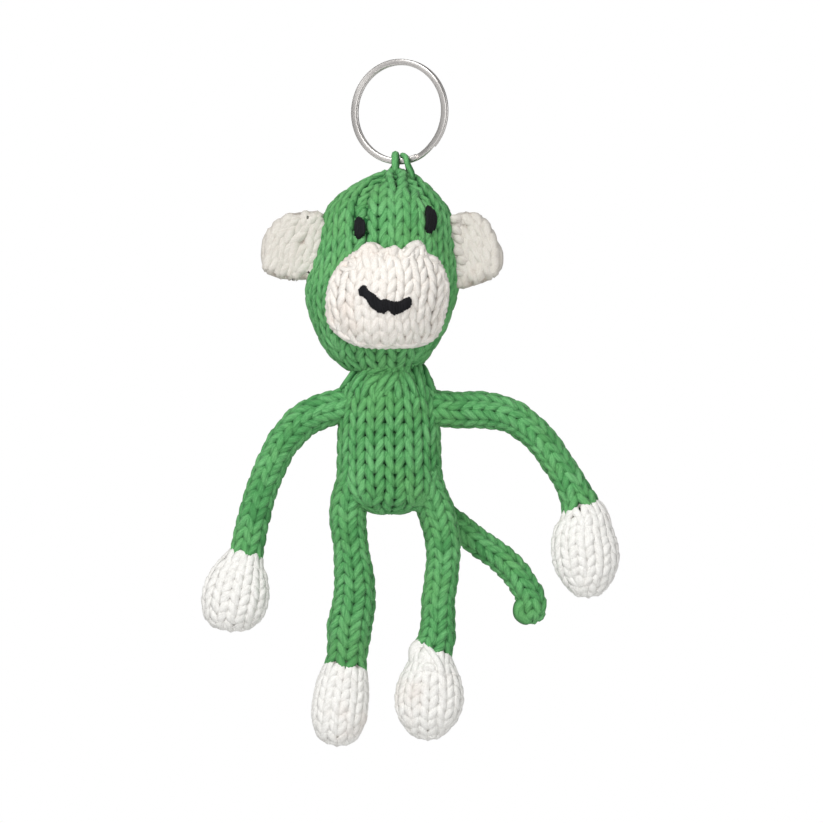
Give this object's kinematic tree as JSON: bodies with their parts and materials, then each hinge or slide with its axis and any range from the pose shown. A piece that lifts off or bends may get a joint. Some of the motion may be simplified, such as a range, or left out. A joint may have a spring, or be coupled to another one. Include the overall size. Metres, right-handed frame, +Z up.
{
  "type": "knitted monkey keychain",
  "caption": "Small stuffed knitted monkey with long limbs, round ears, a muzzle and a tail, hung by a yarn loop from a steel split ring.",
  "frame": {"origin": "The top of the split ring's bore, where a hook or another ring holds the keychain.", "axes": "+Z up along the hanging toy, the face looks along -Y, +X is to the viewer's right."},
  "size_m": [0.1111, 0.0434, 0.1823],
  "materials": {
    "steel": "polished",
    "green_yarn": "matte",
    "cream_yarn": "matte",
    "black_yarn": "matte",
    "stuffing": "matte"
  },
  "bodies": {
    "key_ring": {"key_ring": "steel"},
    "loop": {"hanging_loop": "green_yarn"},
    "crown": {"crown_tie": "green_yarn"},
    "head": {"head_cover": "green_yarn", "head_stuffing": "stuffing", "muzzle_cover": "cream_yarn", "muzzle_stuffing": "stuffing", "left_eye": "black_yarn", "right_eye": "black_yarn", "mouth": "black_yarn"},
    "left_ear": {"left_ear": "cream_yarn"},
    "right_ear": {"right_ear": "cream_yarn"},
    "neck": {"neck_tie": "green_yarn"},
    "torso": {"torso_cover": "green_yarn", "torso_stuffing": "stuffing"},
    "left_upper_arm": {"left_upper_arm": "green_yarn"},
    "left_forearm": {"left_forearm": "green_yarn"},
    "left_hand": {"left_hand": "cream_yarn", "left_hand_stuffing": "stuffing"},
    "right_upper_arm": {"right_upper_arm": "green_yarn"},
    "right_forearm": {"right_forearm": "green_yarn"},
    "right_hand": {"right_hand": "cream_yarn", "right_hand_stuffing": "stuffing"},
    "left_thigh": {"left_thigh": "green_yarn"},
    "left_shin": {"left_shin": "green_yarn"},
    "left_foot": {"left_foot": "cream_yarn", "left_foot_stuffing": "stuffing"},
    "right_thigh": {"right_thigh": "green_yarn"},
    "right_shin": {"right_shin": "green_yarn"},
    "right_foot": {"right_foot": "cream_yarn", "right_foot_stuffing": "stuffing"},
    "tail_root": {"tail_root": "green_yarn"},
    "tail_tip": {"tail_tip": "green_yarn"}
  },
  "joints": [
    {"name": "ring_turn", "type": "hinge", "parent": "key_ring", "child": "loop", "pos_m": [0, 0, -0.01235], "axis": [0.4226, 0.9063, 0], "continuous": true},
    {"name": "loop_swing", "type": "hinge", "parent": "loop", "child": "crown", "pos_m": [0, 0, -0.02552], "axis": [0.9063, -0.4226, 0], "range_deg": [-90, 90]},
    {"name": "head_turn", "type": "hinge", "parent": "crown", "child": "head", "pos_m": [-0.0014, 0, -0.0306], "axis": [0, 0, 1], "range_deg": [-90, 90]},
    {"name": "left_ear_fold", "type": "hinge", "parent": "head", "child": "left_ear", "pos_m": [-0.0228, -0.001, -0.0406], "axis": [0.2259, 0, 0.9742], "range_deg": [-40, 40]},
    {"name": "right_ear_fold", "type": "hinge", "parent": "head", "child": "right_ear", "pos_m": [0.0166, -0.001, -0.041], "axis": [0.124, 0, -0.9923], "range_deg": [-40, 40]},
    {"name": "neck_turn", "type": "hinge", "parent": "head", "child": "neck", "pos_m": [-0.0041, 0, -0.0808], "axis": [0, 0, 1], "range_deg": [-60, 60]},
    {"name": "neck_nod", "type": "hinge", "parent": "neck", "child": "torso", "pos_m": [-0.0041, 0, -0.0808], "axis": [-1, 0, 0], "range_deg": [-22, 22]},
    {"name": "left_shoulder_raise", "type": "hinge", "parent": "torso", "child": "left_upper_arm", "pos_m": [-0.016, -0.0005, -0.0906], "axis": [0, 1, 0], "range_deg": [-12, 70]},
    {"name": "left_elbow_bend", "type": "hinge", "parent": "left_upper_arm", "child": "left_forearm", "pos_m": [-0.03396, -0.00153, -0.1061], "axis": [0.9216, 0, -0.3882], "range_deg": [-40, 40]},
    {"name": "left_wrist_bend", "type": "hinge", "parent": "left_forearm", "child": "left_hand", "pos_m": [-0.04041, -0.00219, -0.12813], "axis": [0, 1, 0], "range_deg": [-30, 30]},
    {"name": "right_shoulder_raise", "type": "hinge", "parent": "torso", "child": "right_upper_arm", "pos_m": [0.0098, -0.0005, -0.0911], "axis": [0, -1, 0], "range_deg": [-12, 70]},
    {"name": "right_elbow_bend", "type": "hinge", "parent": "right_upper_arm", "child": "right_forearm", "pos_m": [0.03528, -0.00133, -0.09714], "axis": [0.6648, 0, 0.7471], "range_deg": [-40, 40]},
    {"name": "right_wrist_bend", "type": "hinge", "parent": "right_forearm", "child": "right_hand", "pos_m": [0.0465, -0.00193, -0.11354], "axis": [0, -1, 0], "range_deg": [-30, 30]},
    {"name": "left_hip_swing", "type": "hinge", "parent": "torso", "child": "left_thigh", "pos_m": [-0.0137, -0.0005, -0.1184], "axis": [-1, 0, 0], "range_deg": [-12, 75]},
    {"name": "left_knee_bend", "type": "hinge", "parent": "left_thigh", "child": "left_shin", "pos_m": [-0.01198, -0.00005, -0.1373], "axis": [1, 0, 0], "range_deg": [-35, 38]},
    {"name": "left_ankle_bend", "type": "hinge", "parent": "left_shin", "child": "left_foot", "pos_m": [-0.01384, -0.00058, -0.15616], "axis": [-1, 0, 0], "range_deg": [-30, 30]},
    {"name": "right_hip_swing", "type": "hinge", "parent": "torso", "child": "right_thigh", "pos_m": [0.0099, -0.0005, -0.1184], "axis": [-1, 0, 0], "range_deg": [-12, 75]},
    {"name": "right_knee_bend", "type": "hinge", "parent": "right_thigh", "child": "right_shin", "pos_m": [0.01108, 0.00001, -0.13619], "axis": [1, 0, 0], "range_deg": [-35, 38]},
    {"name": "right_ankle_bend", "type": "hinge", "parent": "right_shin", "child": "right_foot", "pos_m": [0.00997, -0.00047, -0.15111], "axis": [-1, 0, 0], "range_deg": [-30, 30]},
    {"name": "tail_swing", "type": "hinge", "parent": "torso", "child": "tail_root", "pos_m": [-0.001, 0.0104, -0.112], "axis": [0, 0, 1], "range_deg": [-4, 60]},
    {"name": "tail_bend", "type": "hinge", "parent": "tail_root", "child": "tail_tip", "pos_m": [0.0204, 0.01311, -0.12669], "axis": [-0.6418, 0, -0.7669], "range_deg": [-40, 40]}
  ]
}
